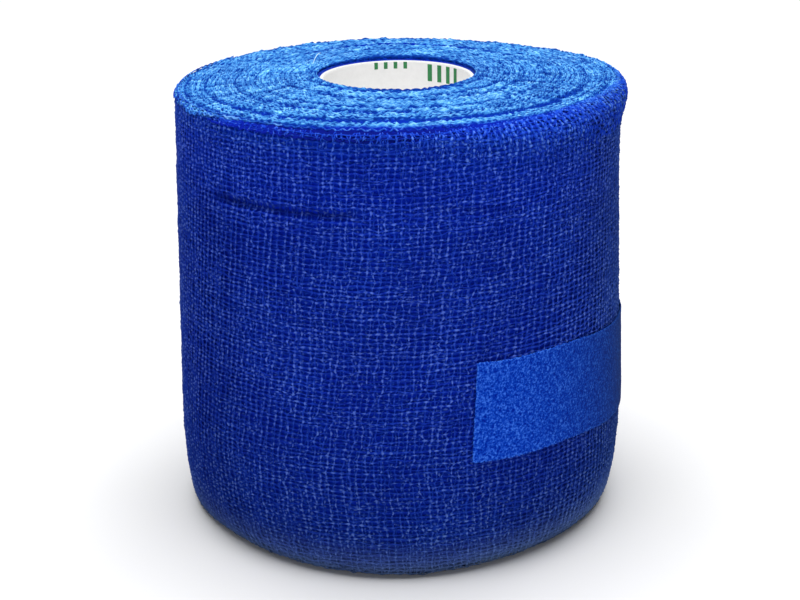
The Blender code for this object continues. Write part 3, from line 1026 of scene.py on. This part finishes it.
# Plain bars on the tube's inner side: azimuths, width in degrees, lowest and highest point.
BARS = (
    ((197.0, 189.0, 181.0, 173.0), 3.0, 99.3, 100.9),
    ((152.0, 143.0, 134.0, 125.0), 4.0, 96.6, 100.6),
)


def core_bars(name, material):
    """Thin printed bars, a hair inside the tube's wall."""
    points = []
    quads = []
    radius = HOLE - 1.3 - 0.03
    for azimuths, wide, low, high in BARS:
        for centre in azimuths:
            azimuth = centre + wide * np.linspace(-0.5, 0.5, 7)
            quads.extend((a + 1, a, a + 7, a + 8) for a in range(len(points), len(points) + 6))
            for height in (low, high):
                points.extend(cylinder(azimuth, radius, height))
    piece = solid_mesh(name, np.array(points), np.array(quads), material)


# ---- closing strip


STRIP_STOPS = (
    (0.37, (0.0003, 0.012, 0.28)),
    (0.44, (0.0004, 0.025, 0.37)),
    (0.50, (0.0020, 0.047, 0.48)),
    (0.56, (0.0160, 0.095, 0.62)),
    (0.63, (0.0450, 0.175, 0.78)),
)


def strip_material():
    shader = Shader("strip_crepe", 0.9, 0.03)
    coarse = shader.noise(1900.0, 2.0, 0.6)
    fine = shader.noise(4600.0, 2.0, 0.6)
    speck = shader.math("ADD", shader.math("MULTIPLY", coarse, 0.6), shader.math("MULTIPLY", fine, 0.4))
    value = shader.math("ADD", speck, shader.attribute("tone"))
    colour = shader.ramp(value, STRIP_STOPS)
    shader.colour(shader.mix(shader.attribute("greying_and_shade"), colour, STRIP_SHADE_COLOUR))
    shader.bump(speck, 0.7, 0.12)
    return shader.material


def closing_strip(name, material):
    columns = 360
    rows = 70
    rng = np.random.default_rng(91)
    along = np.linspace(0, 1, columns)[:, None]
    up = np.linspace(0, 1, rows)[None, :]
    ragged_end = 0.16 * rng.uniform(-1, 1, (1, rows))
    ragged_side = 0.30 * rng.uniform(-1, 1, (columns, 1))
    slant = STRIP_SLANT * (up - 0.5) * (1 - along)
    azimuth = part_way((STRIP_START, STRIP_END), along) + slant + ragged_end * (1 - ease(along * 40))
    kink, kink_spread, kink_height = STRIP_KINK
    centre = STRIP_CENTRE - STRIP_DROP * (azimuth - STRIP_START)
    centre = centre + kink_height * hump(azimuth - kink, kink_spread)
    height = centre + (STRIP_WIDTH + ragged_side) * (up - 0.5)
    climb = TURN * step_over(azimuth, STRIP_CLIMB) * (azimuth < LOOSE_END)
    bulge = 0.04 * step_over(azimuth, STRIP_BULGE[0]) * step_over(azimuth, STRIP_BULGE[1])
    pucker = 0.05 * soft_field(92, 150, 12)(along, up) + 0.06 * soft_field(93, 60, 6)(along, up)
    crepe = 0.03 * rng.uniform(-1, 1, (columns, rows))
    base = wall(azimuth, height) + climb + STRIP_LIFT + bulge + np.abs(pucker)
    outer = cylinder(azimuth, base + STRIP_THICKNESS + crepe, height)
    inner = cylinder(azimuth, base, height)
    points = np.concatenate([inner.reshape(-1, 3), outer.reshape(-1, 3)])
    index = np.arange(columns * rows).reshape(columns, rows)
    count = columns * rows
    sheet = np.stack([index[:-1, :-1], index[1:, :-1], index[1:, 1:], index[:-1, 1:]], -1).reshape(-1, 4)
    faces = [sheet + count, sheet[:, ::-1]]
    for line, flip in ((index[:, 0], False), (index[:, -1], True), (index[0], True), (index[-1], False)):
        side = [line[:-1], line[1:], line[1:] + count, line[:-1] + count]
        if flip:
            side.reverse()
        faces.append(np.stack(side, -1))
    # Frayed edges are lighter; towards the seen end the strip is painted lighter, and towards the right it
    # gets painted shade.
    run = math.radians(STRIP_END - STRIP_START) * (RADIUS + STRIP_LIFT)
    edge = np.minimum(np.minimum(up, 1 - up) * STRIP_WIDTH, along * run)
    tone = 0.035 * (1 - ease(along * 1.9)) + 0.05 * (1 - ease(edge / 0.6)) - 0.03
    tone = tone + 0.03 * soft_field(94, 200, 30)(along, up) + 0.02 * rng.normal(0, 1, (columns, rows))
    greying_and_shade = 0.72 * step_over(azimuth, STRIP_SHADED[0]) * (1 - 0.4 * step_over(azimuth, STRIP_SHADED[1]))
    shades = {"tone": np.stack([tone, tone]), "greying_and_shade": np.stack([greying_and_shade, greying_and_shade])}
    piece = solid_mesh(name, points, np.concatenate(faces), material, **shades)
    return piece


# ---- lint


# Stray fibres: (azimuth, radius, height) of the points that each follows.
LINT = (
    (
        (-111.0, 20.6, 102.6),
        (-118.0, 21.3, 103.4),
        (-126.0, 22.6, 103.7),
        (-132.0, 23.9, 103.4),
        (-134.0, 24.6, 102.9),
    ),
    ((-34.4, 48.5, 7.2), (-33.8, 48.8, 7.5), (-33.2, 48.5, 7.7)),
    ((48.0, 48.8, 11.3), (49.5, 48.9, 12.3), (52.0, 48.9, 12.7), (54.5, 48.9, 13.4)),
)
LINT_RADIUS = 0.09


def lint(name, material):
    sides = 5
    points = []
    quads = []
    for path in LINT:
        knots = np.array([cylinder(a, r, h) for a, r, h in path])
        steps = np.linspace(0, len(knots) - 1, 6 * len(knots))
        line = np.stack([np.interp(steps, range(len(knots)), values) for values in knots.T], axis=-1)
        for _ in range(4):
            line[1:-1] = 0.5 * line[1:-1] + 0.25 * (line[:-2] + line[2:])
        way = np.gradient(line, axis=0)
        way = way / np.linalg.norm(way, axis=-1, keepdims=True)
        side = np.cross(way, (0.0, 0.0, 1.0))
        side = side / np.linalg.norm(side, axis=-1, keepdims=True)
        upper = np.cross(side, way)
        count = len(line)
        thin = LINT_RADIUS * np.sqrt(np.sin(np.linspace(0.12, math.pi - 0.12, count)))[:, None]
        base = sum(len(p) for p in points)
        for step in range(sides):
            turn = math.tau * step / sides
            points.append(line + thin * (side * math.cos(turn) + upper * math.sin(turn)))
            here = base + step * count
            there = base + (step + 1) % sides * count
            quads.extend((here + at, there + at, there + at + 1, here + at + 1) for at in range(count - 1))
    piece = solid_mesh(name, np.concatenate(points), np.array(quads), material)


# ---- build

PAPER_STOPS = ((0.2, (0.85, 0.84, 0.83)), (0.8, (0.91, 0.905, 0.895)))
PRINT_STOPS = ((0.25, (0.030, 0.230, 0.075)), (0.75, (0.055, 0.310, 0.110)))
LINT_STOPS = ((0.3, (0.40, 0.66, 0.78)), (0.7, (0.62, 0.80, 0.88)))
FLOOR_STOPS = ((0.3, (0.65, 0.65, 0.65)), (0.7, (0.67, 0.67, 0.67)))
CUT_PAPER = (0.56, 0.56, 0.55)
paper = grained_material("core_paper", 0.7, 0.3, (900.0, 4.0, 0.65), PAPER_STOPS, (0.25, 0.06), CUT_PAPER)
core_print = grained_material("core_print", 0.6, 0.3, (1500.0, 3.0, 0.6), PRINT_STOPS, (0.2, 0.03))
lint_fibre = grained_material("lint", 0.8, 0.1, (3000.0, 2.0, 0.5), LINT_STOPS, (0.3, 0.03))

body = wound_body("wound_body", body_material())
gauze_layer("gauze_outer", 11, 0.0, LAYER_SINK, wall_thread, 0.28, True)
gauze_layer("gauze_below", 31, 0.5, LAYER_SINK + LAYER_DEPTH, deep_thread, 0.27, False)
top_turns("top_turns", end_thread)
rim_line("rim_line", end_thread)
shoulder_dashes("shoulder_dashes", end_thread)
foot_turns("foot_turns", end_thread)
lint("lint", lint_fibre)
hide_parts("bandage")

core = paper_core("paper_core", paper)
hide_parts("core")
core_bars("core_bars", core_print)

strip = closing_strip("closing_strip_crepe", strip_material())
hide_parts("closing_strip")


# ---- floor, light and camera


def floor():
    half = 4.0
    mesh = bpy.data.meshes.new("floor")
    corners = [(-half, -half, 0), (half, -half, 0), (half, half, 0), (-half, half, 0)]
    mesh.from_pydata(corners, [], [(0, 1, 2, 3)])
    mesh.materials.append(grained_material("pale_floor", 0.9, 0.1, (12.0, 2.0, 0.5), FLOOR_STOPS))
    plane = put("floor", mesh)


def area_light(name, place, aim, size, power):
    data = bpy.data.lights.new(name, "AREA")
    data.shape = "RECTANGLE"
    data.size, data.size_y = size
    data.energy = power
    lamp = put(name, data)
    lamp.location = place
    lamp.rotation_euler = (Vector(aim) - Vector(place)).to_track_quat("-Z", "Y").to_euler()


floor()
area_light("overhead", (0.0, 0.1, 2.0), (0.0, 0.1, 0.0), (2.0, 2.0), 86.0)
area_light("front_fill", (-0.05, -1.5, 0.7), (0.0, 0.0, 0.05), (0.5, 0.5), 4.6)

world = bpy.data.worlds.new("studio")
scene.world = world
world.use_nodes = True
background = world.node_tree.nodes["Background"]
background.inputs["Color"].default_value = (0.9, 0.95, 1.0, 1.0)
background.inputs["Strength"].default_value = 0.12

scene.view_settings.view_transform = "Standard"
scene.view_settings.look = "None"
scene.view_settings.exposure = 0.0

camera_data = bpy.data.cameras.new("camera")
camera_data.sensor_width = SENSOR
camera_data.sensor_fit = "HORIZONTAL"
camera_data.lens = CAMERA_LENS
camera_data.clip_start = 0.01
camera = put("camera", camera_data)
place = Vector((MM * AXIS_X, MM * (AXIS_Y - CAMERA_BACK), MM * CAMERA_HEIGHT))
pitched = Matrix.Rotation(math.radians(90.0 - CAMERA_PITCH), 4, "X")
camera.matrix_world = Matrix.Translation(place) @ pitched @ Matrix.Rotation(math.radians(CAMERA_ROLL), 4, "Z")
bpy.context.scene.camera = camera
